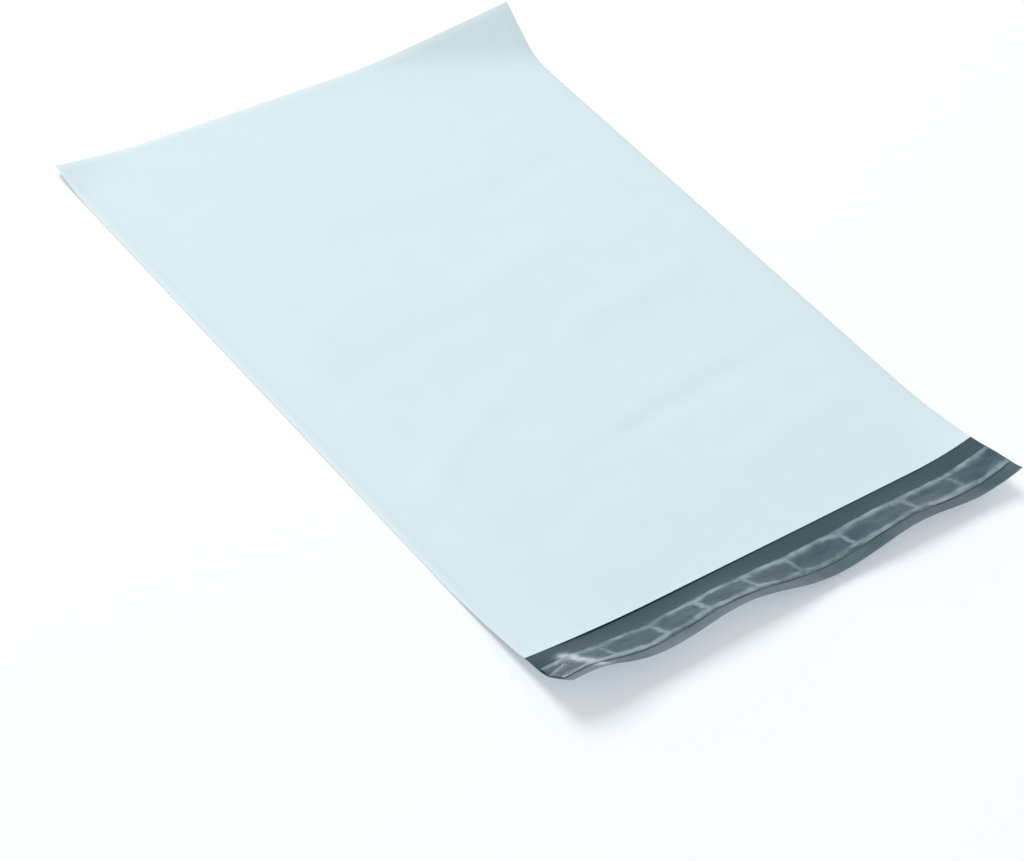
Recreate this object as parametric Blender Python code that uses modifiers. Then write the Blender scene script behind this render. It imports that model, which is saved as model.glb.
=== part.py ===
"""Poly mailer bag: a flat courier envelope of two-tone film, lying face up with its flap open.

The bag is one long sheet of film, folded across at the closed end and welded along both sides,
so that its back panel runs on past the mouth as the flap. A band of hot-melt adhesive lies on
the flap's inner face, under a wider strip of release liner.
Metres, +Z up. +X runs across the bag, +Y from the flap to the closed end.
"""

from math import cos, hypot, pi, radians, sin

import bmesh
import bpy

# The bag laid out flat
BAG_WIDTH = 0.305
BODY_LENGTH = 0.394
FLAP_DEPTH = 0.036
FILM_THICKNESS = 0.000065
SIDE_WELD = 0.006
WELD_START = 0.004

# Air that stays between the two panels
PANEL_LOFT = 0.0016
MOUTH_LOFT = 0.0006
SOFT_EDGE = 0.040
RIPPLE_LENGTH = 0.130
RIPPLE_SHARE = 0.25
RIPPLE_SLANT = 0.16

# The closure on the flap's inner face
LINER_WIDTH = 0.0175
LINER_THICKNESS = 0.00005
LINER_FROM_MOUTH = 0.0105
LINER_END_INSET = 0.0010
ADHESIVE_WIDTH = 0.0110
ADHESIVE_THICKNESS = 0.00015
ADHESIVE_END_INSET = 0.0040
SEAT_GAP = 0.0003

# The flap lifts from a line just inside the mouth, most at the left, in long waves
FLAP_HINGE_INSET = 0.004
FLAP_HINGE_WIDTH = 0.016
FLAP_ANGLE = radians(18.0)
FLAP_ANGLE_FALL = radians(20.0)
FLAP_WAVE_ANGLE = radians(7.5)
FLAP_WAVE_LENGTH = 0.122
FLAP_WAVE_CREST = -0.042

# The flap's left end bends back down
DROOP_START = 0.022
DROOP_REACH = 0.026
DROOP_WIDTH = 0.018
DROOP_ANGLE = radians(25.0)

# Each corner rolls up past a slanting line, which cuts the cross edge and the side edge at
# these distances from the corner: (across, along, width of the roll, angle it reaches)
FAR_RIGHT_CURL = (0.118, 0.0435, 0.017, radians(29.5))
FAR_RIGHT_SWEEP = (0.250, 0.055, 0.045, radians(8.0))
FAR_LEFT_CURL = (0.056, 0.036, 0.020, radians(13.0))
NEAR_RIGHT_CURL = (0.077, 0.091, 0.040, radians(20.0))
NEAR_LEFT_CURL = (0.128, 0.108, 0.040, radians(9.5))

# Quads in the sheet and in each strip
COLUMNS = 40
BODY_ROWS = 27
FLAP_ROWS = 5
STRIP_ROWS = 4

CLOSED_END_Y = (BODY_LENGTH + FLAP_DEPTH) / 2
MOUTH_Y = CLOSED_END_Y - BODY_LENGTH
FLAP_EDGE_Y = MOUTH_Y - FLAP_DEPTH
SIDE_X = BAG_WIDTH / 2
LINER_MIDDLE_Y = MOUTH_Y - LINER_FROM_MOUTH - LINER_WIDTH / 2

CORNER_CURLS = (
    (1, 1, FAR_RIGHT_CURL),
    (1, 1, FAR_RIGHT_SWEEP),
    (-1, 1, FAR_LEFT_CURL),
    (1, -1, NEAR_RIGHT_CURL),
    (-1, -1, NEAR_LEFT_CURL),
)


def ease(share):
    """Goes smoothly from 0 to 1, and stays there."""
    share = min(max(share, 0.0), 1.0)
    return share * share * (3 - 2 * share)


def roll(distance, width, angle):
    """Shift and rise of a point this far past the line where the sheet starts to roll up.

    The sheet follows an arc over the roll's width, then runs on straight at the full angle.
    """
    if distance <= 0:
        return 0.0, 0.0
    radius = width / angle
    turned = min(distance, width) / radius
    beyond = max(distance - width, 0.0)
    reach = radius * sin(turned) + beyond * cos(angle)
    rise = radius * (1 - cos(turned)) + beyond * sin(angle)
    return reach - distance, rise


def flap_angle(x):
    """Angle at which the flap stands at this place across the bag."""
    wave = cos(2 * pi * (x - FLAP_WAVE_CREST) / FLAP_WAVE_LENGTH)
    return FLAP_ANGLE - FLAP_ANGLE_FALL * x / BAG_WIDTH + FLAP_WAVE_ANGLE * wave


def droop(x, y):
    """How far the flap's left end bends back down at this place."""
    _, drop = roll(DROOP_REACH - SIDE_X - x, DROOP_WIDTH, DROOP_ANGLE)
    return drop * ease((MOUTH_Y - y) / DROOP_START)


def lay(x, y, height):
    """The place of a point of the flat sheet once the flap and the corners have lifted."""
    shift, rise = roll(MOUTH_Y + FLAP_HINGE_INSET - y, FLAP_HINGE_WIDTH, flap_angle(x))
    placed_x = x
    placed_y = y - shift
    placed_z = height + rise - droop(x, y)
    for x_sign, y_sign, (across, along, width, angle) in CORNER_CURLS:
        corner_y = CLOSED_END_Y if y_sign > 0 else FLAP_EDGE_Y
        slant = hypot(across, along)
        normal_x = x_sign * along / slant
        normal_y = y_sign * across / slant
        past_corner = (x - x_sign * SIDE_X) * normal_x + (y - corner_y) * normal_y
        shift, rise = roll(past_corner + across * along / slant, width, angle)
        placed_x += normal_x * shift
        placed_y += normal_y * shift
        placed_z += rise
    return placed_x, placed_y, placed_z


def opened(distance):
    """Share of the loft at a distance from a seam: nearly shut on the weld, then rising softly."""
    shut = 0.02 * min(distance / SIDE_WELD, 1.0)
    return shut + 0.98 * ease((distance - SIDE_WELD) / SOFT_EDGE)


def panel_gap(x, y):
    """Air gap between the back panel and the front panel. Both sides are joined from
    WELD_START inside the mouth, and the closed end is a fold."""
    above_mouth = y - MOUTH_Y
    to_weld = hypot(SIDE_X - abs(x), max(WELD_START - above_mouth, 0.0))
    loft = MOUTH_LOFT + (PANEL_LOFT - MOUTH_LOFT) * ease(above_mouth / SOFT_EDGE)
    ripple = 1 + RIPPLE_SHARE * sin(2 * pi * (y + RIPPLE_SLANT * x) / RIPPLE_LENGTH)
    return loft * ripple * min(opened(to_weld), opened(CLOSED_END_Y - y))


def column_x(column):
    """Columns are even between the welds, with one more at each edge."""
    if column == 0:
        return -SIDE_X
    if column == COLUMNS:
        return SIDE_X
    inner = SIDE_X - SIDE_WELD
    return -inner + 2 * inner * (column - 1) / (COLUMNS - 2)


def body_row_y(row):
    """Rows of a panel from its mouth, with one at the start of the side welds."""
    if row == 0:
        return MOUTH_Y
    return MOUTH_Y + WELD_START + (BODY_LENGTH - WELD_START) * (row - 1) / (BODY_ROWS - 1)


def film_point(column, row):
    """A point of the long sheet, whose rows run up the flap and the back, then down the front."""
    x = column_x(column)
    if row < FLAP_ROWS:
        return lay(x, FLAP_EDGE_Y + FLAP_DEPTH * row / FLAP_ROWS, FILM_THICKNESS)
    up = row - FLAP_ROWS
    if up < BODY_ROWS:
        return lay(x, body_row_y(up), FILM_THICKNESS)
    y = body_row_y(2 * BODY_ROWS - up)
    return lay(x, y, FILM_THICKNESS + panel_gap(x, y))


def sheet_object(name, columns, rows, place, thickness, grows, materials, collection):
    """A grid whose crossings go where place() says, given a thickness on one side."""
    mesh = bpy.data.meshes.new(name)
    bm = bmesh.new()
    bmesh.ops.create_grid(bm, x_segments=columns, y_segments=rows, size=0.5)
    for vertex in bm.verts:
        column = round((vertex.co.x + 0.5) * columns)
        row = round((vertex.co.y + 0.5) * rows)
        vertex.co = place(column, row)
    bmesh.ops.remove_doubles(bm, verts=bm.verts, dist=1e-7)
    bm.to_mesh(mesh)
    bm.free()
    mesh.shade_smooth()
    for material in materials:
        mesh.materials.append(material)
    piece = bpy.data.objects.new(name, mesh)
    collection.objects.link(piece)
    wall = piece.modifiers.new("Thickness", "SOLIDIFY")
    wall.thickness = thickness
    wall.offset = grows
    wall.material_offset = len(materials) - 1
    wall.material_offset_rim = len(materials) - 1
    return piece


def strip_point(width, end_inset, height):
    """Places a strip of this width, centred on the liner's line, at a height over the flap."""

    def place(column, row):
        x = column_x(column) * (SIDE_X - end_inset) / SIDE_X
        y = LINER_MIDDLE_Y + width * (row / STRIP_ROWS - 0.5)
        return lay(x, y, FILM_THICKNESS + height)

    return place


def plastic(name, colour, roughness, alpha=1.0):
    material = bpy.data.materials.new(name)
    material.use_nodes = True
    shader = material.node_tree.nodes["Principled BSDF"]
    shader.inputs["Base Color"].default_value = (*colour, 1.0)
    shader.inputs["Roughness"].default_value = roughness
    shader.inputs["Metallic"].default_value = 0.0
    shader.inputs["Alpha"].default_value = alpha
    return material


def clear_scene():
    for item in list(bpy.data.objects):
        bpy.data.objects.remove(item, do_unlink=True)


def main():
    clear_scene()
    bag = bpy.data.collections.new("poly_mailer_bag")
    bpy.context.scene.collection.children.link(bag)

    inside = plastic("dark_inner_film", (0.050, 0.062, 0.070), 0.38)
    outside = plastic("pale_outer_film", (0.700, 0.820, 0.860), 0.42)
    sheet_object("film_bag", COLUMNS, FLAP_ROWS + 2 * BODY_ROWS, film_point,
                 FILM_THICKNESS, -1.0, (inside, outside), bag)

    glue = plastic("hot_melt_adhesive", (0.130, 0.160, 0.180), 0.30)
    glue_place = strip_point(ADHESIVE_WIDTH, ADHESIVE_END_INSET, SEAT_GAP)
    sheet_object("adhesive_strip", COLUMNS, STRIP_ROWS, glue_place,
                 ADHESIVE_THICKNESS, 1.0, (glue,), bag)

    release = plastic("release_liner_film", (0.230, 0.280, 0.300), 0.25, 0.6)
    liner_height = SEAT_GAP + ADHESIVE_THICKNESS + SEAT_GAP
    liner_place = strip_point(LINER_WIDTH, LINER_END_INSET, liner_height)
    sheet_object("release_liner", COLUMNS, STRIP_ROWS, liner_place,
                 LINER_THICKNESS, 1.0, (release,), bag)


main()
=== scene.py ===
from math import cos, pi, radians, sin

import bpy
from mathutils import Matrix, Vector


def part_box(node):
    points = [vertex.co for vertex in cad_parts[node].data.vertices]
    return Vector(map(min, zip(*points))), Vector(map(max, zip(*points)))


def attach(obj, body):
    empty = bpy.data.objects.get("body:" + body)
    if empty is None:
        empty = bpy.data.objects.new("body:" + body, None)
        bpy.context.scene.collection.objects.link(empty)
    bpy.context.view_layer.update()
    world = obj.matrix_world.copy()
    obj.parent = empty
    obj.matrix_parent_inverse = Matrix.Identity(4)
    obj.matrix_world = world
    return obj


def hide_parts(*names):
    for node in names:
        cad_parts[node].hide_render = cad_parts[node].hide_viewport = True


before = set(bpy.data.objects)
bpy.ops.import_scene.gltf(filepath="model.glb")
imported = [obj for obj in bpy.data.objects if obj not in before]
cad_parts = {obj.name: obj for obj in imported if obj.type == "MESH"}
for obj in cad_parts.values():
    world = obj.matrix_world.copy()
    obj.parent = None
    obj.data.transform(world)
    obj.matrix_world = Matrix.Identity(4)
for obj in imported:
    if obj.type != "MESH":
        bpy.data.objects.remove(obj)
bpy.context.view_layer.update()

# Poly mailer bag, lying face up with its flap open. Metres, +Z up. +X runs across the bag and
# +Y from the flap to the closed end. A flat place is a place on the film before it lifts.
# A pattern holds the settings of a noise. A range holds the start and end of an ease, and
# where it has four values also what the ease goes from and to.

bag = {
    "film": 0.000065,               # thickness of the film
    "bodyLength": 0.394,            # mouth to closed end
    "flapDepth": 0.036,
    "weld": 0.006,                  # width of each side weld
    "weldStart": 0.004,             # the welds start this far inside the mouth
}
_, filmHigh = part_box("film_bag")
bag["side"] = filmHigh.x - bag["film"]
bag["closedEnd"] = filmHigh.y - bag["film"]
bag["mouth"] = bag["closedEnd"] - bag["bodyLength"]
bag["flapEdge"] = bag["mouth"] - bag["flapDepth"]

# The flap leaves the floor just inside the mouth, in long waves, most at the left
flapLift = {
    "hingeInset": 0.004,
    "hingeWidth": 0.016,
    "angle": radians(18.0),
    "fall": radians(20.0),          # lost from the left side to the right
    "waveAngle": radians(7.5),
    "waveLength": 0.122,
    "waveCrest": -0.042,
    "crinkle": 0.0009,              # height of the small random creasing
    "crinklePattern": {"scale": 34.0, "seed": 3.0},
    "crinkleRange": (0.004, 0.020),  # it grows over this stretch past the mouth
    "lipRoll": 0.0008,              # the cut edge turns up by this much
    "lipWidth": 0.003,
    "droopReach": 0.026,            # the left end of the flap bends back down
    "droopWidth": 0.018,
    "droopAngle": radians(25.0),
    "droopFull": 0.022,             # past the mouth, where the bend has its full depth
}

# A curled corner: what its slanting line cuts off the cross edge and the side edge, the width
# of the roll, and the angle that it reaches
cornerCurls = (
    {"signs": (1, 1), "across": 0.118, "along": 0.0435, "width": 0.017, "angle": radians(29.5)},
    {"signs": (1, 1), "across": 0.250, "along": 0.055, "width": 0.045, "angle": radians(8.0)},
    {"signs": (-1, 1), "across": 0.056, "along": 0.036, "width": 0.020, "angle": radians(13.0)},
    {"signs": (1, -1), "across": 0.077, "along": 0.091, "width": 0.040, "angle": radians(20.0)},
    {"signs": (-1, -1), "across": 0.128, "along": 0.108, "width": 0.040, "angle": radians(9.5)},
)


# Helpers that build node trees

def newTree(label, kind, inputs, outputs):
    tree = bpy.data.node_groups.new(label, kind)
    for name, socketKind, value in inputs:
        socket = tree.interface.new_socket(name, in_out="INPUT", socket_type="NodeSocket" + socketKind)
        if value is not None:
            socket.default_value = value
    for name, socketKind in outputs:
        tree.interface.new_socket(name, in_out="OUTPUT", socket_type="NodeSocket" + socketKind)
    given = tree.nodes.new("NodeGroupInput").outputs
    result = tree.nodes.new("NodeGroupOutput").inputs
    return tree, given, result


def wire(tree, value, socket):
    if isinstance(value, bpy.types.NodeSocket):
        tree.links.new(value, socket)
    else:
        socket.default_value = value


def addNode(tree, kind, wires=None, **settings):
    node = tree.nodes.new(kind)
    for name, value in settings.items():
        setattr(node, name, value)
    for key, value in (wires or {}).items():
        wire(tree, value, node.inputs[key])
    return node


def addGroup(tree, group, wires):
    kind = "GeometryNodeGroup" if tree.bl_idname == "GeometryNodeTree" else "ShaderNodeGroup"
    return addNode(tree, kind, wires, node_tree=group).outputs


def calc(tree, operation, *values):
    return addNode(tree, "ShaderNodeMath", dict(enumerate(values)), operation=operation).outputs[0]


def plus(tree, first, second):
    return calc(tree, "ADD", first, second)


def minus(tree, first, second):
    return calc(tree, "SUBTRACT", first, second)


def times(tree, first, second):
    return calc(tree, "MULTIPLY", first, second)


def over(tree, first, second):
    return calc(tree, "DIVIDE", first, second)


def total(tree, values):
    result = values[0]
    for value in values[1:]:
        result = plus(tree, result, value)
    return result


def vector(tree, x, y, z):
    return addNode(tree, "ShaderNodeCombineXYZ", {0: x, 1: y, 2: z}).outputs[0]


def vectorCalc(tree, operation, first, second, output="Vector"):
    return addNode(tree, "ShaderNodeVectorMath", {0: first, 1: second}, operation=operation).outputs[output]


def partsOf(tree, place):
    return addNode(tree, "ShaderNodeSeparateXYZ", {0: place}).outputs


def easeBetween(tree, value, start, end, low=0.0, high=1.0):
    # smooth step from low at start to high at end
    wires = {"Value": value, "From Min": start, "From Max": end, "To Min": low, "To Max": high}
    return addNode(tree, "ShaderNodeMapRange", wires, interpolation_type="SMOOTHSTEP").outputs["Result"]


def noise(tree, place, scale, seed, detail=2.0, roughness=0.5):
    # between 0 and 1, and always the same for one seed
    wires = {"Vector": place, "W": seed, "Scale": scale, "Detail": detail, "Roughness": roughness}
    return addNode(tree, "ShaderNodeTexNoise", wires, noise_dimensions="4D").outputs[0]


def evenNoise(tree, place, pattern):
    # as much below nothing as above it
    return minus(tree, noise(tree, place, **pattern), 0.5)


def bell(tree, distance, width):
    # 1 on a line, falling to nothing on both sides
    share = over(tree, distance, width)
    return calc(tree, "EXPONENT", times(tree, times(tree, share, share), -1.0))


# Groups that lay the flat film out as the bag lies

def makeRollUp():
    # shift and rise of a point past the line where a sheet starts to roll up
    inputs = [("Distance", "Float", 0.0), ("Width", "Float", 0.02), ("Angle", "Float", 0.3)]
    outputs = [("Shift", "Float"), ("Rise", "Float")]
    tree, given, result = newTree("rollUp", "GeometryNodeTree", inputs, outputs)
    distance = calc(tree, "MAXIMUM", given["Distance"], 0.0)
    radius = over(tree, given["Width"], given["Angle"])
    onArc = calc(tree, "MINIMUM", distance, given["Width"])
    beyond = minus(tree, distance, onArc)
    turned = over(tree, onArc, radius)
    arcReach = times(tree, radius, calc(tree, "SINE", turned))
    arcRise = times(tree, radius, minus(tree, 1.0, calc(tree, "COSINE", turned)))
    reach = calc(tree, "MULTIPLY_ADD", beyond, calc(tree, "COSINE", given["Angle"]), arcReach)
    rise = calc(tree, "MULTIPLY_ADD", beyond, calc(tree, "SINE", given["Angle"]), arcRise)
    wire(tree, minus(tree, reach, distance), result["Shift"])
    wire(tree, rise, result["Rise"])
    return tree


def makeCornerCurl(rollUp):
    # offset of a flat place from the curl of one corner
    inputs = [("Flat X", "Float", 0.0), ("Flat Y", "Float", 0.0), ("Corner X", "Float", 0.0),
              ("Corner Y", "Float", 0.0), ("Across", "Float", 0.1), ("Along", "Float", 0.1),
              ("Width", "Float", 0.02), ("Angle", "Float", 0.3)]
    tree, given, result = newTree("cornerCurl", "GeometryNodeTree", inputs, [("Offset", "Vector")])
    across, along = given["Across"], given["Along"]
    squares = calc(tree, "MULTIPLY_ADD", across, across, times(tree, along, along))
    slant = calc(tree, "SQRT", squares)
    normalX = times(tree, calc(tree, "SIGN", given["Corner X"]), over(tree, along, slant))
    normalY = times(tree, calc(tree, "SIGN", given["Corner Y"]), over(tree, across, slant))
    pastX = times(tree, minus(tree, given["Flat X"], given["Corner X"]), normalX)
    pastY = times(tree, minus(tree, given["Flat Y"], given["Corner Y"]), normalY)
    depth = over(tree, times(tree, across, along), slant)
    rolled = addGroup(tree, rollUp, {"Distance": total(tree, [pastX, pastY, depth]),
                                     "Width": given["Width"], "Angle": given["Angle"]})
    shiftX = times(tree, normalX, rolled["Shift"])
    shiftY = times(tree, normalY, rolled["Shift"])
    wire(tree, vector(tree, shiftX, shiftY, rolled["Rise"]), result["Offset"])
    return tree


def makeLieOfBag():
    # place of a flat point, at a height over the floor, once the flap and corners have lifted
    rollUp = makeRollUp()
    cornerCurl = makeCornerCurl(rollUp)
    inputs = [("Flat X", "Float", 0.0), ("Flat Y", "Float", 0.0), ("Height", "Float", 0.0),
              ("Side", "Float", 0.15), ("Closed End", "Float", 0.2), ("Mouth", "Float", -0.18),
              ("Flap Edge", "Float", -0.2)]
    tree, given, result = newTree("lieOfBag", "GeometryNodeTree", inputs, [("Place", "Vector")])
    flatX, flatY = given["Flat X"], given["Flat Y"]

    pastCrest = minus(tree, flatX, flapLift["waveCrest"])
    wave = calc(tree, "COSINE", times(tree, pastCrest, 2 * pi / flapLift["waveLength"]))
    fall = times(tree, over(tree, flatX, given["Side"]), -flapLift["fall"] / 2)
    evenAngle = plus(tree, fall, flapLift["angle"])
    angle = calc(tree, "MULTIPLY_ADD", wave, flapLift["waveAngle"], evenAngle)
    pastMouth = minus(tree, given["Mouth"], flatY)
    pastHinge = plus(tree, pastMouth, flapLift["hingeInset"])
    flap = addGroup(tree, rollUp, {"Distance": pastHinge, "Width": flapLift["hingeWidth"], "Angle": angle})

    rough = evenNoise(tree, vector(tree, flatX, flatY, 0.0), flapLift["crinklePattern"])
    loose = easeBetween(tree, pastMouth, *flapLift["crinkleRange"])
    crinkle = times(tree, times(tree, rough, loose), 2 * flapLift["crinkle"])
    toLip = minus(tree, flatY, given["Flap Edge"])
    lip = easeBetween(tree, toLip, flapLift["lipWidth"], 0.0, 0.0, flapLift["lipRoll"])

    pastDroop = minus(tree, flapLift["droopReach"], plus(tree, flatX, given["Side"]))
    droop = addGroup(tree, rollUp, {"Distance": pastDroop, "Width": flapLift["droopWidth"],
                                    "Angle": flapLift["droopAngle"]})["Rise"]
    downward = easeBetween(tree, pastMouth, 0.0, flapLift["droopFull"], 0.0, -1.0)
    drooped = times(tree, droop, downward)

    placedY = minus(tree, flatY, flap["Shift"])
    placedZ = total(tree, [given["Height"], flap["Rise"], crinkle, lip, drooped])
    place = vector(tree, flatX, placedY, placedZ)
    for curl in cornerCurls:
        xSign, ySign = curl["signs"]
        offset = addGroup(tree, cornerCurl, {
            "Flat X": flatX, "Flat Y": flatY, "Corner X": times(tree, given["Side"], float(xSign)),
            "Corner Y": given["Closed End"] if ySign > 0 else given["Flap Edge"],
            "Across": curl["across"], "Along": curl["along"], "Width": curl["width"], "Angle": curl["angle"],
        })["Offset"]
        place = vectorCalc(tree, "ADD", place, offset)
    wire(tree, place, result["Place"])
    return tree


lieOfBag = makeLieOfBag()
print("lie of the bag: ready")


# Air between the two panels, with the swells and soft creases of the front panel

panelAir = {
    "mouthLoft": 0.0006,
    "panelLoft": 0.0016,
    "weldShare": 0.02,              # of the loft, on the welds
    "softEdge": 0.040,
    "foldRest": 0.032,              # the panels lie together this far from the closed end,
    "softFold": 0.150,              # and the air has its full height this far from it
    "rippleShare": 0.25,
    "rippleLength": 0.130,
    "rippleSlant": 0.16,
    "swellShare": 0.9,
    "swellStretch": 0.42,           # swells are longer across the bag than along it
    "swellPattern": {"scale": 15.0, "seed": 1.0, "detail": 1.5},
    "wander": 0.018,                # the soft creases stray from their straight lines
    "wanderPattern": {"scale": 16.0, "seed": 3.0, "detail": 1.0},
    "creaseFade": 0.4,              # share of a crease's length over which each end fades
    "leastShare": 0.1,              # of the air, in the deepest crease
    "slack": 0.00007,               # least height of the air, right up to the welds
}
frontCreases = (
    {"start": (-0.070, -0.093), "end": (0.156, -0.070), "depth": -0.43, "width": 0.0070},
    {"start": (-0.060, -0.082), "end": (0.156, -0.058), "depth": 0.25, "width": 0.0085},
    {"start": (-0.152, -0.078), "end": (0.004, -0.010), "depth": 0.54, "width": 0.0095},
    {"start": (-0.040, -0.029), "end": (0.156, 0.010), "depth": 0.47, "width": 0.0100},
    {"start": (-0.156, 0.004), "end": (0.004, 0.026), "depth": -0.36, "width": 0.0075},
    {"start": (-0.140, 0.042), "end": (-0.030, 0.066), "depth": 0.32, "width": 0.0095},
    {"start": (0.010, 0.082), "end": (0.156, 0.118), "depth": -0.60, "width": 0.0105},
    {"start": (-0.090, 0.126), "end": (0.050, 0.104), "depth": 0.55, "width": 0.0125},
    {"start": (-0.050, 0.026), "end": (0.095, 0.062), "depth": 0.29, "width": 0.0110},
    {"start": (0.000, -0.136), "end": (0.146, -0.112), "depth": 0.36, "width": 0.0090},
    {"start": (-0.130, -0.122), "end": (-0.010, -0.102), "depth": -0.32, "width": 0.0100},
)


def makeSoftCrease():
    # share that one soft crease adds to the air, along a straight line that fades at both ends
    inputs = [("Flat X", "Float", 0.0), ("Flat Y", "Float", 0.0), ("Start", "Vector", None),
              ("End", "Vector", None), ("Depth", "Float", 0.0), ("Width", "Float", 0.01)]
    tree, given, result = newTree("softCrease", "GeometryNodeTree", inputs, [("Share", "Float")])
    point = vector(tree, given["Flat X"], given["Flat Y"], 0.0)
    line = vectorCalc(tree, "SUBTRACT", given["End"], given["Start"])
    fromStart = vectorCalc(tree, "SUBTRACT", point, given["Start"])
    reach = vectorCalc(tree, "DOT_PRODUCT", fromStart, line, "Value")
    length = vectorCalc(tree, "DOT_PRODUCT", line, line, "Value")
    share = over(tree, reach, length)
    nearest = addNode(tree, "ShaderNodeVectorMath", {0: line, "Scale": share}, operation="SCALE").outputs[0]
    away = vectorCalc(tree, "DISTANCE", fromStart, nearest, "Value")
    fade = panelAir["creaseFade"]
    ends = times(tree, easeBetween(tree, share, 0.0, fade), easeBetween(tree, share, 1.0, 1.0 - fade))
    profile = times(tree, bell(tree, away, given["Width"]), ends)
    wire(tree, times(tree, profile, given["Depth"]), result["Share"])
    return tree


def makePanelGap():
    inputs = [("Flat X", "Float", 0.0), ("Flat Y", "Float", 0.0), ("Side", "Float", 0.15),
              ("Closed End", "Float", 0.2), ("Mouth", "Float", -0.18), ("Weld", "Float", 0.006),
              ("Weld Start", "Float", 0.004)]
    tree, given, result = newTree("panelGap", "GeometryNodeTree", inputs, [("Gap", "Float")])
    flatX, flatY = given["Flat X"], given["Flat Y"]
    weldShare = panelAir["weldShare"]

    def opened(distance, start, end):
        # nearly shut on the weld, then rising softly
        acrossWeld = calc(tree, "MINIMUM", over(tree, distance, given["Weld"]), 1.0)
        pastWeld = minus(tree, distance, given["Weld"])
        shut = times(tree, acrossWeld, weldShare)
        return plus(tree, shut, easeBetween(tree, pastWeld, start, end, 0.0, 1.0 - weldShare))

    aboveMouth = minus(tree, flatY, given["Mouth"])
    toSide = minus(tree, given["Side"], calc(tree, "ABSOLUTE", flatX))
    beforeWeld = calc(tree, "MAXIMUM", minus(tree, given["Weld Start"], aboveMouth), 0.0)
    squares = calc(tree, "MULTIPLY_ADD", toSide, toSide, times(tree, beforeWeld, beforeWeld))
    toWeld = calc(tree, "SQRT", squares)
    toFold = minus(tree, given["Closed End"], flatY)
    openShare = calc(tree, "MINIMUM", opened(toWeld, 0.0, panelAir["softEdge"]),
                     opened(toFold, panelAir["foldRest"], panelAir["softFold"]))

    lofts = panelAir["mouthLoft"], panelAir["panelLoft"]
    loft = easeBetween(tree, aboveMouth, 0.0, panelAir["softEdge"], *lofts)
    slanted = calc(tree, "MULTIPLY_ADD", flatX, panelAir["rippleSlant"], flatY)
    ripple = calc(tree, "SINE", times(tree, slanted, 2 * pi / panelAir["rippleLength"]))
    swellPlace = vector(tree, times(tree, flatX, panelAir["swellStretch"]), slanted, 0.0)
    swell = evenNoise(tree, swellPlace, panelAir["swellPattern"])
    share = total(tree, [1.0, times(tree, ripple, panelAir["rippleShare"]),
                         times(tree, swell, panelAir["swellShare"])])

    softCrease = makeSoftCrease()
    wander = evenNoise(tree, vector(tree, flatX, flatY, 0.0), panelAir["wanderPattern"])
    wanderedY = calc(tree, "MULTIPLY_ADD", wander, panelAir["wander"], flatY)
    shares = [1.0]
    for crease in frontCreases:
        shares.append(addGroup(tree, softCrease, {
            "Flat X": flatX, "Flat Y": wanderedY, "Depth": crease["depth"], "Width": crease["width"],
            "Start": (*crease["start"], 0.0), "End": (*crease["end"], 0.0),
        })["Share"])
    creased = calc(tree, "MAXIMUM", total(tree, shares), panelAir["leastShare"])
    height = times(tree, times(tree, loft, share), creased)

    toEdge = calc(tree, "MINIMUM", toWeld, toFold)
    acrossCrease = calc(tree, "MINIMUM", over(tree, toEdge, filmSheet["crease"]), 1.0)
    slack = times(tree, acrossCrease, panelAir["slack"])
    wire(tree, calc(tree, "MULTIPLY_ADD", height, openShare, slack), result["Gap"])
    return tree


# Finishes. The effects that several of them use are groups.

blownFilm = {
    "cloudScale": 55.0,
    "wrinkleScale": 160.0,
    "drawStretch": (12.0, 1100.0, 1.0),   # draw lines are fine, and long across the bag
    "drawPattern": {"scale": 1.0, "seed": 5.0},
    "pitPattern": {"scale": 1400.0, "seed": 8.0, "detail": 1.0},
    "wrinkleShare": 0.8,                  # of the relief
    "drawShare": 0.12,
    "pitShare": 0.08,
}


def makeFilmGrain():
    # cloudy mottling, fine draw lines, and the relief of small wrinkles
    inputs = [("Place", "Vector", None), ("Cloud Scale", "Float", blownFilm["cloudScale"]),
              ("Wrinkle Scale", "Float", blownFilm["wrinkleScale"])]
    outputs = [("Cloud", "Float"), ("Draw Line", "Float"), ("Relief", "Float")]
    tree, given, result = newTree("filmGrain", "ShaderNodeTree", inputs, outputs)
    place = given["Place"]
    wire(tree, noise(tree, place, given["Cloud Scale"], seed=2.0, detail=3.0), result["Cloud"])
    stretched = vectorCalc(tree, "MULTIPLY", place, blownFilm["drawStretch"])
    drawLine = noise(tree, stretched, **blownFilm["drawPattern"])
    wire(tree, drawLine, result["Draw Line"])
    wrinkle = noise(tree, place, given["Wrinkle Scale"], seed=7.0, detail=3.0, roughness=0.55)
    pits = noise(tree, place, **blownFilm["pitPattern"])
    relief = total(tree, [times(tree, wrinkle, blownFilm["wrinkleShare"]),
                          times(tree, drawLine, blownFilm["drawShare"]),
                          times(tree, pits, blownFilm["pitShare"])])
    wire(tree, relief, result["Relief"])
    return tree


filmGrain = makeFilmGrain()

# Painted highlight: a broken light streak painted on the film and liner along the bend where the flap's left
# end bends down, in place of the glint on that bend
paintedGlint = {
    "fromSide": 0.0145,             # where the crease leaves the mouth
    "lean": 0.20,                   # drift away from the side, for each metre past the mouth
    "width": 0.0034,
    "start": 0.004,                 # past the mouth
    "end": 0.035,
    "fade": 0.006,
    "colour": (0.56, 0.64, 0.68, 1.0),
    "brokenPattern": {"scale": 230.0, "seed": 61.0, "detail": 3.0, "roughness": 0.6},
    "brokenRange": (0.34, 0.58, 0.45, 1.0),
}


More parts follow.
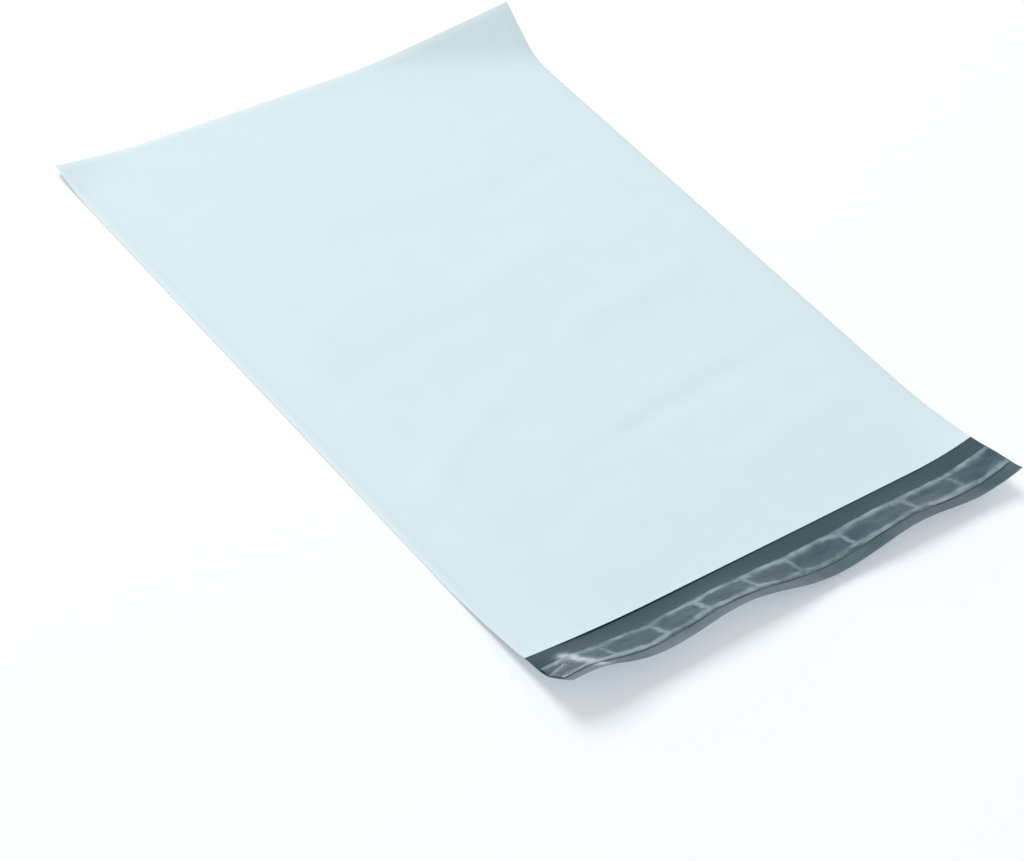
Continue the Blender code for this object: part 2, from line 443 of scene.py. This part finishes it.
def makePaintedGlint():
    # strength of the painted highlight along the bend, at a flat place
    inputs = [("Place", "Vector", None)]
    tree, given, result = newTree("paintedGlintTree", "ShaderNodeTree", inputs, [("Glint", "Float")])
    flatX, flatY, _ = partsOf(tree, given["Place"])
    pastMouth = minus(tree, bag["mouth"], flatY)
    atMouth = paintedGlint["fromSide"] - bag["side"]
    line = calc(tree, "MULTIPLY_ADD", pastMouth, paintedGlint["lean"], atMouth)
    streak = bell(tree, minus(tree, flatX, line), paintedGlint["width"])
    start, end, fade = paintedGlint["start"], paintedGlint["end"], paintedGlint["fade"]
    reach = times(tree, easeBetween(tree, pastMouth, start, start + fade),
                  easeBetween(tree, pastMouth, end, end - fade))
    glintBreaks = noise(tree, given["Place"], **paintedGlint["brokenPattern"])
    broken = easeBetween(tree, glintBreaks, *paintedGlint["brokenRange"])
    wire(tree, times(tree, times(tree, streak, reach), broken), result["Glint"])
    return tree


paintedGlintTree = makePaintedGlint()


def newFinish(name):
    material = bpy.data.materials.new(name)
    material.use_nodes = True
    return material, material.node_tree, material.node_tree.nodes["Principled BSDF"]


def mixColours(tree, share, first, second):
    node = addNode(tree, "ShaderNodeMix", {0: share}, data_type="RGBA")
    wire(tree, first, node.inputs[6])
    wire(tree, second, node.inputs[7])
    return node.outputs[2]


def addBump(tree, shader, height, film):
    bump = addNode(tree, "ShaderNodeBump", {
        "Height": height, "Strength": film["bumpStrength"], "Distance": film["bumpHeight"],
    })
    wire(tree, bump.outputs[0], shader.inputs["Normal"])


def flatPlaceOf(tree):
    # kept on the mesh, so that patterns follow the film over its curls
    return addNode(tree, "ShaderNodeAttribute", attribute_name="flatPlace").outputs["Vector"]


paleFilm = {
    "colour": (0.700, 0.836, 0.876, 1.0),
    "cloudColour": (0.689, 0.828, 0.871, 1.0),
    "cloudRange": (0.35, 0.70),
    "weldColour": (0.640, 0.785, 0.836, 1.0),
    "weldFade": 0.8,                # share of the weld's width that has its full colour
    "weldShare": 0.25,              # how much of the weld's colour it takes
    "weldLine": 0.0004,             # width of the dent along the weld's inner edge
    "weldLineShare": 0.6,
    "weldDent": 0.6,
    "roughnessRange": (0.2, 0.8, 0.36, 0.50),
    "bumpStrength": 0.5,
    "bumpHeight": 0.00022,
}
darkFilm = {
    "colour": (0.008, 0.037, 0.048, 1.0),
    "cloudColour": (0.018, 0.058, 0.072, 1.0),
    "cutColour": (0.42, 0.48, 0.52, 1.0),
    "cutWidth": 0.0009,             # the cut edge shows light, in patches
    "cutPattern": {"scale": 26.0, "seed": 11.0},
    "cutRange": (0.36, 0.62, 0.25, 1.0),
    "paintedSheenColour": (0.100, 0.145, 0.166, 1.0),
    "paintedSheenBand": (0.0140, 0.005),    # painted sheen along the outer edge
    "paintedSheenPattern": {"scale": 48.0, "seed": 12.0, "detail": 3.0},
    "paintedSheenRange": (0.30, 0.62, 0.35, 1.0),
    "paintedSheenAcross": (0.10, -0.03, 0.45, 0.95),  # most at the left
    "glossTint": (0.80, 0.94, 1.0, 1.0),
    "wrinkleScale": 120.0,
    "roughnessRange": (0.2, 0.8, 0.24, 0.40),
    "bumpStrength": 0.6,
    "bumpHeight": 0.00035,
}


def makePaleFilm():
    material, tree, shader = newFinish("pale film outside")
    place = flatPlaceOf(tree)
    flatX, flatY, _ = partsOf(tree, place)
    grain = addGroup(tree, filmGrain, {"Place": place})
    toSide = minus(tree, bag["side"], calc(tree, "ABSOLUTE", flatX))
    inBody = calc(tree, "GREATER_THAN", flatY, bag["mouth"] + bag["weldStart"])
    onWeld = easeBetween(tree, toSide, bag["weld"], bag["weld"] * paleFilm["weldFade"])
    weldBand = times(tree, onWeld, inBody)
    dent = bell(tree, minus(tree, toSide, bag["weld"]), paleFilm["weldLine"])
    weldLine = times(tree, dent, inBody)
    cloud = easeBetween(tree, grain["Cloud"], *paleFilm["cloudRange"])
    cloudy = mixColours(tree, cloud, paleFilm["colour"], paleFilm["cloudColour"])
    band = times(tree, weldBand, paleFilm["weldShare"])
    marks = calc(tree, "MULTIPLY_ADD", weldLine, paleFilm["weldLineShare"], band)
    wire(tree, mixColours(tree, marks, cloudy, paleFilm["weldColour"]), shader.inputs["Base Color"])
    roughness = easeBetween(tree, grain["Draw Line"], *paleFilm["roughnessRange"])
    wire(tree, roughness, shader.inputs["Roughness"])
    height = minus(tree, grain["Relief"], times(tree, weldLine, paleFilm["weldDent"]))
    addBump(tree, shader, height, paleFilm)
    return material


def makeDarkFilm():
    material, tree, shader = newFinish("dark film inside")
    place = flatPlaceOf(tree)
    flatX, flatY, _ = partsOf(tree, place)
    grain = addGroup(tree, filmGrain, {"Place": place, "Wrinkle Scale": darkFilm["wrinkleScale"]})
    toCut = minus(tree, flatY, bag["flapEdge"])
    patches = easeBetween(tree, noise(tree, place, **darkFilm["cutPattern"]), *darkFilm["cutRange"])
    cut = times(tree, easeBetween(tree, toCut, darkFilm["cutWidth"], 0.0), patches)
    cloudy = mixColours(tree, grain["Cloud"], darkFilm["colour"], darkFilm["cloudColour"])
    # painted sheen: a lighter band, in patches, along the flap's outer edge, most at the left
    sheenPatches = easeBetween(tree, noise(tree, place, **darkFilm["paintedSheenPattern"]), *darkFilm["paintedSheenRange"])
    edgeSheen = times(tree, easeBetween(tree, toCut, *darkFilm["paintedSheenBand"]), sheenPatches)
    sheenShare = times(tree, edgeSheen, easeBetween(tree, flatX, *darkFilm["paintedSheenAcross"]))
    sheened = mixColours(tree, sheenShare, cloudy, darkFilm["paintedSheenColour"])
    # painted highlight along the bend at the flap's left end
    crease = addGroup(tree, paintedGlintTree, {"Place": place})["Glint"]
    creased = mixColours(tree, crease, sheened, paintedGlint["colour"])
    wire(tree, mixColours(tree, cut, creased, darkFilm["cutColour"]), shader.inputs["Base Color"])
    roughness = easeBetween(tree, grain["Draw Line"], *darkFilm["roughnessRange"])
    wire(tree, roughness, shader.inputs["Roughness"])
    shader.inputs["Specular Tint"].default_value = darkFilm["glossTint"]
    addBump(tree, shader, grain["Relief"], darkFilm)
    return material


# Running a tree: its named inputs are set, then its result becomes a plain mesh

def runTree(name, tree, values, materials):
    piece = bpy.data.objects.new(name, bpy.data.meshes.new(name))
    bpy.context.scene.collection.objects.link(piece)
    modifier = piece.modifiers.new(name, "NODES")
    modifier.node_group = tree
    for socket in tree.interface.items_tree:
        if socket.in_out == "INPUT" and socket.name in values:
            modifier[socket.identifier] = values[socket.name]
    graph = bpy.context.evaluated_depsgraph_get()
    made = bpy.data.meshes.new_from_object(piece.evaluated_get(graph))
    piece.modifiers.remove(modifier)
    piece.data = made
    made.name = name
    made.materials.clear()
    for material in materials:
        made.materials.append(material)
    return piece


sharpAngle = radians(50)


def thicken(piece, thickness, offset, outerMaterial=0):
    wall = piece.modifiers.new("thickness", "SOLIDIFY")
    wall.thickness = thickness
    wall.offset = offset
    wall.material_offset = outerMaterial
    wall.material_offset_rim = outerMaterial
    graph = bpy.context.evaluated_depsgraph_get()
    made = bpy.data.meshes.new_from_object(piece.evaluated_get(graph))
    piece.modifiers.remove(wall)
    piece.data = made
    made.shade_smooth()
    made.set_sharp_from_angle(angle=sharpAngle)


def addGrid(tree, columns, rows):
    # a grid of one metre, and the place of each of its points
    grid = addNode(tree, "GeometryNodeMeshGrid", {
        "Size X": 1.0, "Size Y": 1.0,
        "Vertices X": plus(tree, columns, 1.0), "Vertices Y": plus(tree, rows, 1.0),
    }).outputs["Mesh"]
    position = addNode(tree, "GeometryNodeInputPosition").outputs[0]
    return grid, partsOf(tree, position)


def keepOnMesh(tree, geometry, value, name, kind):
    wires = {"Geometry": geometry, "Name": name, "Value": value}
    return addNode(tree, "GeometryNodeStoreNamedAttribute", wires, data_type=kind, domain="POINT").outputs[0]


def keepPlace(tree, geometry, place):
    return keepOnMesh(tree, geometry, place, "flatPlace", "FLOAT_VECTOR")


def movePoints(tree, geometry, place):
    return addNode(tree, "GeometryNodeSetPosition", {"Geometry": geometry, "Position": place}).outputs[0]


def endTree(tree, geometry, material, result):
    split = addNode(tree, "GeometryNodeTriangulate", {"Mesh": geometry}).outputs[0]
    realized = addNode(tree, "GeometryNodeRealizeInstances", {"Geometry": split}).outputs[0]
    wires = {"Geometry": realized, "Material": material}
    wire(tree, addNode(tree, "GeometryNodeSetMaterial", wires).outputs[0], result["Geometry"])


sizeInputs = [("Side", "Float", bag["side"]), ("Closed End", "Float", bag["closedEnd"]),
              ("Mouth", "Float", bag["mouth"]), ("Flap Edge", "Float", bag["flapEdge"])]


def sizesFrom(given):
    return {name: given[name] for name, _, _ in sizeInputs}


# Film bag: one sheet, its rows running up the flap and the back, then down the front

filmSheet = {
    "columns": 136,
    "flapRows": 16,
    "bodyRows": 160,
    "crease": 0.00015,              # reach of the sharp bend along the fold and the sides
    "mergeDistance": 0.000001,
}


def makeFilmTree(insideFinish):
    inputs = [("Geometry", "Geometry", None), *sizeInputs, ("Film", "Float", bag["film"]),
              ("Weld", "Float", bag["weld"]), ("Weld Start", "Float", bag["weldStart"]),
              ("Crease", "Float", filmSheet["crease"]), ("Columns", "Int", 40), ("Flap Rows", "Int", 6),
              ("Body Rows", "Int", 40)]
    tree, given, result = newTree("filmBag", "GeometryNodeTree", inputs, [("Geometry", "Geometry")])
    flapRows, bodyRows = given["Flap Rows"], given["Body Rows"]
    rows = calc(tree, "MULTIPLY_ADD", bodyRows, 2.0, flapRows)
    grid, spot = addGrid(tree, given["Columns"], rows)

    def tightEdge(distance, step):
        # the first line of points inside an edge moves up to it, so that the fold there is crisp
        first = calc(tree, "COMPARE", distance, step, times(tree, step, 0.5))
        return calc(tree, "MULTIPLY_ADD", first, minus(tree, given["Crease"], step), distance)

    width = times(tree, given["Side"], 2.0)
    fromMiddle = times(tree, calc(tree, "ABSOLUTE", spot[0]), width)
    columnStep = over(tree, width, given["Columns"])
    toSide = tightEdge(minus(tree, given["Side"], fromMiddle), columnStep)
    flatX = times(tree, minus(tree, given["Side"], toSide), calc(tree, "SIGN", spot[0]))

    row = times(tree, plus(tree, spot[1], 0.5), rows)
    upFlap = calc(tree, "MINIMUM", over(tree, row, flapRows), 1.0)
    upBody = over(tree, calc(tree, "MAXIMUM", minus(tree, row, flapRows), 0.0), bodyRows)
    flapDepth = minus(tree, given["Mouth"], given["Flap Edge"])
    bodyLength = minus(tree, given["Closed End"], given["Mouth"])
    run = calc(tree, "MULTIPLY_ADD", upFlap, flapDepth, times(tree, upBody, bodyLength))
    pastFold = minus(tree, run, plus(tree, flapDepth, bodyLength))
    rowStep = over(tree, bodyLength, bodyRows)
    toFold = tightEdge(calc(tree, "ABSOLUTE", pastFold), rowStep)
    flatY = minus(tree, given["Closed End"], toFold)
    onFront = calc(tree, "GREATER_THAN", pastFold, times(tree, rowStep, 0.5))

    sizes = sizesFrom(given)
    gap = addGroup(tree, makePanelGap(), {
        "Flat X": flatX, "Flat Y": flatY, "Side": sizes["Side"], "Closed End": sizes["Closed End"],
        "Mouth": sizes["Mouth"], "Weld": given["Weld"], "Weld Start": given["Weld Start"],
    })["Gap"]
    height = calc(tree, "MULTIPLY_ADD", gap, onFront, given["Film"])
    place = addGroup(tree, lieOfBag, {"Flat X": flatX, "Flat Y": flatY, "Height": height, **sizes})["Place"]
    kept = keepPlace(tree, grid, vector(tree, flatX, flatY, onFront))
    wires = {"Geometry": movePoints(tree, kept, place), "Distance": filmSheet["mergeDistance"]}
    merged = addNode(tree, "GeometryNodeMergeByDistance", wires).outputs[0]
    endTree(tree, merged, insideFinish, result)
    return tree


def makeFilmBag():
    inside, outside = makeDarkFilm(), makePaleFilm()
    values = {"Columns": filmSheet["columns"], "Flap Rows": filmSheet["flapRows"],
              "Body Rows": filmSheet["bodyRows"]}
    piece = runTree("filmBag", makeFilmTree(inside), values, (inside, outside))
    thicken(piece, bag["film"], -1.0, 1)
    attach(piece, "root")
    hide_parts("film_bag")
    return piece


filmBag = makeFilmBag()
print("film bag:", len(filmBag.data.polygons), "faces")


# Closure: a poured strip of adhesive along the flap, under a wider strip of liner

adhesive = {
    "width": 0.0110,
    "thickness": 0.00015,
    "endInset": 0.0040,
    "seat": 0.00010,                # clearance to the film below
    "edgeWander": 0.0005,           # its long edges are uneven
    "columns": 296,
    "rows": 12,
    "colour": (0.040, 0.062, 0.072, 1.0),
    "streakColour": (0.095, 0.125, 0.138, 1.0),
    "streakStretch": (60.0, 900.0, 1.0),
    "streakPattern": {"scale": 1.0, "seed": 21.0, "detail": 3.0},
    "streakRange": (0.35, 0.7),
    "blotchPattern": {"scale": 180.0, "seed": 22.0, "detail": 3.0},
    "roughnessRange": (0.3, 0.7, 0.16, 0.34),
    "blotchShare": 0.7,             # of the relief, the rest being streaks
    "bumpStrength": 0.4,
    "bumpHeight": 0.00008,
}
liner = {
    "width": 0.0175,
    "thickness": 0.00005,
    "endInset": 0.0010,
    "fromMouth": 0.0105,
    "seat": 0.00010,
    "edgeWander": 0.0,              # its long edges are cut straight
    "edgeSeat": 0.00008,            # and press down past the adhesive
    "adhesiveMargin": 0.0005,       # where they start to, past the adhesive's edge
    "columns": 600,
    "rows": 36,
    "colour": (0.044, 0.099, 0.125, 1.0),
    "cloudColour": (0.104, 0.176, 0.206, 1.0),
    "cloudStretch": (55.0, 170.0, 1.0),
    "cloudPattern": {"scale": 1.0, "seed": 33.0, "detail": 3.0, "roughness": 0.6},
    "cloudRange": (0.32, 0.68),
    "ridgeAndHighlightColour": (0.27, 0.355, 0.395, 1.0),
    "patchPattern": {"scale": 85.0, "seed": 31.0, "detail": 4.0, "roughness": 0.6},
    "patchRange": (0.32, 0.66, 0.35, 1.0),    # the ridges are whitish, partly from their own puckering and partly from painted highlight, and whiter in places
    "alphaRange": (0.0, 0.8, 0.55, 0.95),     # and less clear than the rest
    "glossTint": (0.84, 0.95, 1.0, 1.0),
    "wrinkleScale": 300.0,
    "roughnessRange": (0.3, 0.7, 0.18, 0.30),
    "bumpStrength": 0.35,
    "bumpHeight": 0.00012,
}
linerMiddle = bag["mouth"] - liner["fromMouth"] - liner["width"] / 2

# The liner is puckered: a light rail runs inside each long edge, and rungs join the rails
pucker = {
    "height": 0.00040,
    "railInset": 0.0014,
    "railWidth": 0.0020,
    "railThin": 0.65,               # shares of that width, where a rail is thin and thick
    "railThick": 1.4,
    "thickPattern": {"scale": 95.0, "seed": 45.0, "detail": 1.0},
    "thickRange": (0.3, 0.7),
    "railDrift": 0.0022,
    "driftPattern": {"scale": 62.0, "seed": 44.0},
    "pinch": 0.0016,                # a rail is drawn in by this at each rung
    "pinchReach": 0.0080,
    "rungWidth": 0.0018,
    "rungEnds": (0.0003, -0.0006),  # past the rail, where a rung stops
    "wander": 0.0042,               # the rungs are crooked by up to half of this
    "bentPattern": {"scale": 90.0, "seed": 41.0},
    "bowPattern": {"scale": 160.0, "seed": 43.0, "detail": 1.0},
}
rungs = (
    {"place": -0.1190, "lean": 0.0012, "strength": 0.80},
    {"place": -0.0855, "lean": 0.0034, "strength": 0.95},
    {"place": -0.0570, "lean": 0.0006, "strength": 0.90},
    {"place": -0.0252, "lean": 0.0026, "strength": 1.00},
    {"place": 0.0045, "lean": 0.0016, "strength": 0.95},
    {"place": 0.0410, "lean": 0.0030, "strength": 0.85},
    {"place": 0.0862, "lean": 0.0018, "strength": 1.00},
    {"place": 0.1212, "lean": 0.0038, "strength": 0.60},
)


def makeAdhesiveFinish():
    material, tree, shader = newFinish("hot melt adhesive")
    place = flatPlaceOf(tree)
    stretched = vectorCalc(tree, "MULTIPLY", place, adhesive["streakStretch"])
    streak = noise(tree, stretched, **adhesive["streakPattern"])
    blotch = noise(tree, place, **adhesive["blotchPattern"])
    streaky = easeBetween(tree, streak, *adhesive["streakRange"])
    colour = mixColours(tree, streaky, adhesive["colour"], adhesive["streakColour"])
    wire(tree, colour, shader.inputs["Base Color"])
    roughness = easeBetween(tree, blotch, *adhesive["roughnessRange"])
    wire(tree, roughness, shader.inputs["Roughness"])
    streakHeight = times(tree, streak, 1.0 - adhesive["blotchShare"])
    height = calc(tree, "MULTIPLY_ADD", blotch, adhesive["blotchShare"], streakHeight)
    addBump(tree, shader, height, adhesive)
    return material


def makeLinerFinish():
    material, tree, shader = newFinish("release liner film")
    place = flatPlaceOf(tree)
    grain = addGroup(tree, filmGrain, {"Place": place, "Wrinkle Scale": liner["wrinkleScale"]})
    ridge = addNode(tree, "ShaderNodeAttribute", attribute_name="ridge").outputs["Fac"]
    # the ridges are lighter: partly the whitish look of the puckered liner, partly a painted highlight along
    # them
    patchy = easeBetween(tree, noise(tree, place, **liner["patchPattern"]), *liner["patchRange"])
    white = times(tree, ridge, patchy)
    stretched = vectorCalc(tree, "MULTIPLY", place, liner["cloudStretch"])
    cloud = easeBetween(tree, noise(tree, stretched, **liner["cloudPattern"]), *liner["cloudRange"])
    cloudy = mixColours(tree, cloud, liner["colour"], liner["cloudColour"])
    ridged = mixColours(tree, white, cloudy, liner["ridgeAndHighlightColour"])
    # painted highlight along the bend at the flap's left end, which also makes the liner less clear there
    crease = addGroup(tree, paintedGlintTree, {"Place": place})["Glint"]
    wire(tree, mixColours(tree, crease, ridged, paintedGlint["colour"]), shader.inputs["Base Color"])
    alpha = easeBetween(tree, calc(tree, "MAXIMUM", white, crease), *liner["alphaRange"])
    wire(tree, alpha, shader.inputs["Alpha"])
    roughness = easeBetween(tree, grain["Cloud"], *liner["roughnessRange"])
    wire(tree, roughness, shader.inputs["Roughness"])
    shader.inputs["Specular Tint"].default_value = liner["glossTint"]
    addBump(tree, shader, grain["Relief"], liner)
    return material


def makeLinerLadder():
    # height of the ridges at a flat place, as a share of the pucker's height
    inputs = [("Flat X", "Float", 0.0), ("Flat Y", "Float", 0.0)]
    tree, given, result = newTree("linerLadder", "GeometryNodeTree", inputs, [("Ridge", "Float")])
    flatX = given["Flat X"]
    across = minus(tree, given["Flat Y"], linerMiddle)
    bend = evenNoise(tree, vector(tree, flatX, 0.0, 0.0), pucker["bentPattern"])
    bent = times(tree, bend, pucker["wander"])
    bow = evenNoise(tree, vector(tree, 0.0, across, 0.0), pucker["bowPattern"])
    bowed = times(tree, bow, pucker["wander"])
    pinches, crossings = [], []
    for rung in rungs:
        leaned = calc(tree, "MULTIPLY_ADD", across, rung["lean"] / liner["width"], flatX)
        along = minus(tree, leaned, rung["place"])
        pinched = bell(tree, along, pucker["pinchReach"])
        crossing = bell(tree, total(tree, [along, bent, bowed]), pucker["rungWidth"])
        pinches.append(times(tree, pinched, rung["strength"]))
        crossings.append(times(tree, crossing, rung["strength"]))
    pinch = times(tree, total(tree, pinches), pucker["pinch"])
    drift = evenNoise(tree, vector(tree, flatX, calc(tree, "SIGN", across), 0.0), pucker["driftPattern"])
    drifted = times(tree, drift, pucker["railDrift"])
    outermost = liner["width"] / 2 - pucker["railInset"]
    railPlace = minus(tree, outermost, plus(tree, pinch, drifted))
    pastRail = minus(tree, calc(tree, "ABSOLUTE", across), railPlace)
    thick = noise(tree, vector(tree, flatX, across, 0.0), **pucker["thickPattern"])
    widths = [pucker["railWidth"] * share for share in (pucker["railThin"], pucker["railThick"])]
    thickness = easeBetween(tree, thick, *pucker["thickRange"], *widths)
    rail = bell(tree, pastRail, thickness)
    inside = easeBetween(tree, pastRail, *pucker["rungEnds"])
    rung = times(tree, total(tree, crossings), inside)
    wire(tree, calc(tree, "MAXIMUM", rail, rung), result["Ridge"])
    return tree


edgeDrift = {
    "pattern": {"scale": 90.0, "seed": 51.0},
    "power": 4.0,                   # how fast the wander dies away inside a long edge
}


def makeStripTree(label, strip, height, finish, ladder=None):
    inputs = [("Geometry", "Geometry", None), *sizeInputs, ("Width", "Float", strip["width"]),
              ("End Inset", "Float", strip["endInset"]), ("Columns", "Int", 40), ("Rows", "Int", 4)]
    tree, given, result = newTree(label, "GeometryNodeTree", inputs, [("Geometry", "Geometry")])
    kept, spot = addGrid(tree, given["Columns"], given["Rows"])
    halfLength = minus(tree, given["Side"], given["End Inset"])
    flatX = times(tree, spot[0], times(tree, halfLength, 2.0))
    acrossStrip = times(tree, spot[1], given["Width"])
    toEdge = times(tree, spot[1], 2.0)
    drift = evenNoise(tree, vector(tree, flatX, toEdge, 0.0), edgeDrift["pattern"])
    onEdge = calc(tree, "POWER", calc(tree, "ABSOLUTE", toEdge), edgeDrift["power"])
    wandered = times(tree, times(tree, drift, onEdge), 2 * strip["edgeWander"])
    flatY = total(tree, [acrossStrip, wandered, linerMiddle])
    laidHeight = height
    if ladder:
        ridge = addGroup(tree, ladder, {"Flat X": flatX, "Flat Y": flatY})["Ridge"]
        overAdhesive = adhesive["width"] / 2 + liner["adhesiveMargin"]
        overEdge = easeBetween(tree, calc(tree, "ABSOLUTE", acrossStrip), overAdhesive, liner["width"] / 2,
                               height, bag["film"] + liner["edgeSeat"])
        laidHeight = calc(tree, "MULTIPLY_ADD", ridge, pucker["height"], overEdge)
        kept = keepOnMesh(tree, kept, ridge, "ridge", "FLOAT")
    wires = {"Flat X": flatX, "Flat Y": flatY, "Height": laidHeight, **sizesFrom(given)}
    place = addGroup(tree, lieOfBag, wires)["Place"]
    kept = keepPlace(tree, kept, vector(tree, flatX, flatY, 0.0))
    endTree(tree, movePoints(tree, kept, place), finish, result)
    return tree


def makeStrip(name, strip, height, finish, node, ladder=None):
    tree = makeStripTree(name, strip, height, finish, ladder)
    values = {"Columns": strip["columns"], "Rows": strip["rows"]}
    piece = runTree(name, tree, values, (finish,))
    thicken(piece, strip["thickness"], 1.0)
    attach(piece, "root")
    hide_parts(node)
    return piece


adhesiveHeight = bag["film"] + adhesive["seat"]
linerHeight = adhesiveHeight + adhesive["thickness"] + liner["seat"]
adhesiveStrip = makeStrip("adhesiveStrip", adhesive, adhesiveHeight, makeAdhesiveFinish(),
                          "adhesive_strip")
releaseLiner = makeStrip("releaseLiner", liner, linerHeight, makeLinerFinish(),
                         "release_liner", makeLinerLadder())
print("closure:", len(adhesiveStrip.data.polygons) + len(releaseLiner.data.polygons), "faces")


# Floor, backdrop and lamps

studio = {
    "floorSize": 12.0,
    "floorColour": (0.85, 0.885, 0.925, 1.0),
    "floorLift": 0.17,              # added for the camera alone, so that the floor looks white
    "drop": 0.0002,                 # keeps the floor clear of the bag
    "white": (1.0, 1.0, 1.0, 1.0),
    "dome": 0.60,                   # strength of the light from all sides
}
# the low lamp behind the bag glints on the bends of the flap
lamps = {
    "softbox": {"place": (-0.30, 1.80, 3.40), "size": 2.0, "power": 66.0},
    "backPanel": {"place": (0.98, 2.55, 0.52), "size": 0.5, "power": 4.5},
}


def makeFloor():
    half = studio["floorSize"] / 2
    mesh = bpy.data.meshes.new("studioFloor")
    corners = [(-half, -half), (half, -half), (half, half), (-half, half)]
    mesh.from_pydata([(x, y, -studio["drop"]) for x, y in corners], [], [(0, 1, 2, 3)])
    floor = bpy.data.objects.new("studioFloor", mesh)
    bpy.context.scene.collection.objects.link(floor)
    material = bpy.data.materials.new("studio floor")
    material.use_nodes = True
    tree = material.node_tree
    tree.nodes.clear()
    paper = addNode(tree, "ShaderNodeBsdfDiffuse", {"Color": studio["floorColour"]}).outputs[0]
    rays = addNode(tree, "ShaderNodeLightPath").outputs
    seen = times(tree, rays["Is Camera Ray"], studio["floorLift"])
    glow = addNode(tree, "ShaderNodeEmission", {"Color": studio["white"], "Strength": seen}).outputs[0]
    both = addNode(tree, "ShaderNodeAddShader", {0: paper, 1: glow}).outputs[0]
    addNode(tree, "ShaderNodeOutputMaterial", {"Surface": both})
    mesh.materials.append(material)


def makeWorld():
    world = bpy.data.worlds.new("studioWorld")
    bpy.context.scene.world = world
    world.use_nodes = True
    tree = world.node_tree
    tree.nodes.clear()
    rays = addNode(tree, "ShaderNodeLightPath").outputs
    direct = total(tree, [rays["Is Camera Ray"], rays["Is Glossy Ray"], rays["Is Transmission Ray"]])
    seen = calc(tree, "MINIMUM", direct, 1.0)
    strength = easeBetween(tree, seen, 0.0, 1.0, studio["dome"], 1.0)
    wires = {"Color": studio["white"], "Strength": strength}
    sky = addNode(tree, "ShaderNodeBackground", wires).outputs[0]
    addNode(tree, "ShaderNodeOutputWorld", {"Surface": sky})


def makeLamp(name, lamp):
    light = bpy.data.lights.new(name, "AREA")
    light.shape = "SQUARE"
    light.size = lamp["size"]
    light.energy = lamp["power"]
    holder = bpy.data.objects.new(name, light)
    bpy.context.scene.collection.objects.link(holder)
    place = Vector(lamp["place"])
    holder.location = place
    holder.rotation_mode = "QUATERNION"
    holder.rotation_quaternion = (-place).to_track_quat("-Z", "Y")


makeFloor()
makeWorld()
for lampName, lamp in lamps.items():
    makeLamp(lampName, lamp)


# Camera at the photograph's angle: it looks down past the flap's left end, a little rolled

viewPoint = {
    "azimuth": radians(-49.27),
    "elevation": radians(42.72),
    "roll": radians(14.64),
    "aim": (-0.0571, -0.0549, 0.0),
    "distance": 1.3940,
    "lens": 98.44,                  # millimetres, as is the sensor
    "sensor": 36.0,
}


def makeCamera():
    azimuth, elevation, roll = viewPoint["azimuth"], viewPoint["elevation"], viewPoint["roll"]
    back = Vector((sin(azimuth) * cos(elevation), -cos(azimuth) * cos(elevation), sin(elevation)))
    level = Vector((cos(azimuth), sin(azimuth), 0.0))
    upright = back.cross(level)
    right = cos(roll) * level + sin(roll) * upright
    up = cos(roll) * upright - sin(roll) * level
    data = bpy.data.cameras.new("camera")
    data.lens = viewPoint["lens"]
    data.sensor_width = viewPoint["sensor"]
    camera = bpy.data.objects.new("camera", data)
    bpy.context.scene.collection.objects.link(camera)
    turn = Matrix((right, up, back)).transposed().to_4x4()
    place = Vector(viewPoint["aim"]) + back * viewPoint["distance"]
    camera.matrix_world = Matrix.Translation(place) @ turn
    bpy.context.scene.camera = camera


makeCamera()
bpy.context.scene.view_settings.view_transform = "Standard"
print("studio: ready")
